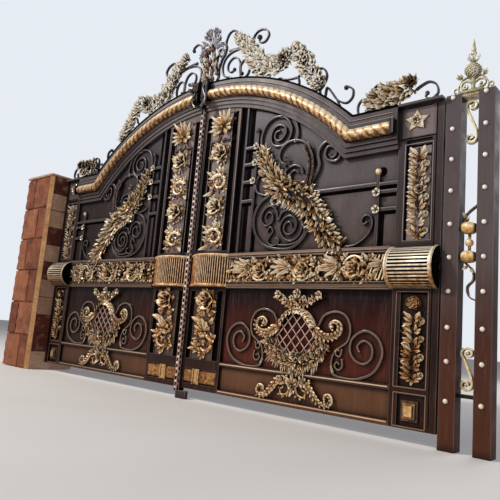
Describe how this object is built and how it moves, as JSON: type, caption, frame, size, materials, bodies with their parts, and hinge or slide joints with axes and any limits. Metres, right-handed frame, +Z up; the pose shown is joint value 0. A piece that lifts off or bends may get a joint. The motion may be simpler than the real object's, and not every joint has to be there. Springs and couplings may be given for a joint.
{
  "type": "double-leaf driveway gate",
  "caption": "Arched double-leaf driveway gate of wrought iron with gilt scrolls, leaf garlands and a rope moulding, hung between a steel post and a masonry pier.",
  "frame": {"origin": "centre of the foot of the steel upright that carries the right leaf, on the ground", "axes": "+X along the gate to the right as seen from the road, +Y into the property, +Z up"},
  "size_m": [5.745, 0.62, 3.58],
  "materials": {
    "iron": "dark brown satin paint",
    "dark_iron": "blue-black satin paint",
    "gilt": "antique gold paint with brown in the recesses",
    "rope_gold": "bright warm gold paint",
    "drum_gold": "yellow gold paint with dark flutes",
    "crest_gold": "pale gold paint",
    "sheet": "glossy purple-brown paint",
    "stone": "rough red and cream stone"
  },
  "bodies": {
    "posts": {"pier": "stone", "pier_cap": "stone", "post_uprights": "iron", "post_bars": "iron", "post_scrolls": "gilt", "post_finial": "gilt", "hinge_brackets": "iron", "ground_stop": "iron"},
    "right_leaf": {"right_hinge_stile": "iron", "right_meeting_stile": "iron", "right_bottom_rail": "iron", "right_mid_rail": "iron", "right_arch_frame": "iron", "right_arch_rope": "rope_gold", "right_infill_sheets": "sheet", "right_drums": "drum_gold", "right_panel_foliage": "gilt", "right_upper_bars": "iron", "right_upper_scrolls": "dark_iron", "right_upper_garland": "gilt", "right_lower_scrolls": "gilt", "right_shield_lattice": "gilt", "right_lower_foliage": "gilt", "right_crest_scrolls": "dark_iron", "right_crest_foliage": "crest_gold"},
    "left_leaf": {"left_hinge_stile": "iron", "left_meeting_stile": "iron", "left_bottom_rail": "iron", "left_mid_rail": "iron", "left_arch_frame": "iron", "left_arch_rope": "rope_gold", "left_infill_sheets": "sheet", "left_drums": "drum_gold", "left_panel_foliage": "gilt", "left_upper_bars": "iron", "left_upper_scrolls": "dark_iron", "left_upper_garland": "gilt", "left_lower_scrolls": "gilt", "left_shield_lattice": "gilt", "left_lower_foliage": "gilt", "left_crest_scrolls": "dark_iron", "left_crest_foliage": "crest_gold", "centre_strip": "dark_iron", "centre_crest": "crest_gold"}
  },
  "joints": [
    {"name": "right_leaf_hinge", "type": "hinge", "parent": "posts", "child": "right_leaf", "pos_m": [-0.072, 0.072, 1.2], "axis": [0, 0, -1], "range_deg": [0, 95]},
    {"name": "left_leaf_hinge", "type": "hinge", "parent": "posts", "child": "left_leaf", "pos_m": [-4.848, 0.072, 1.2], "axis": [0, 0, 1], "range_deg": [0, 95]}
  ]
}
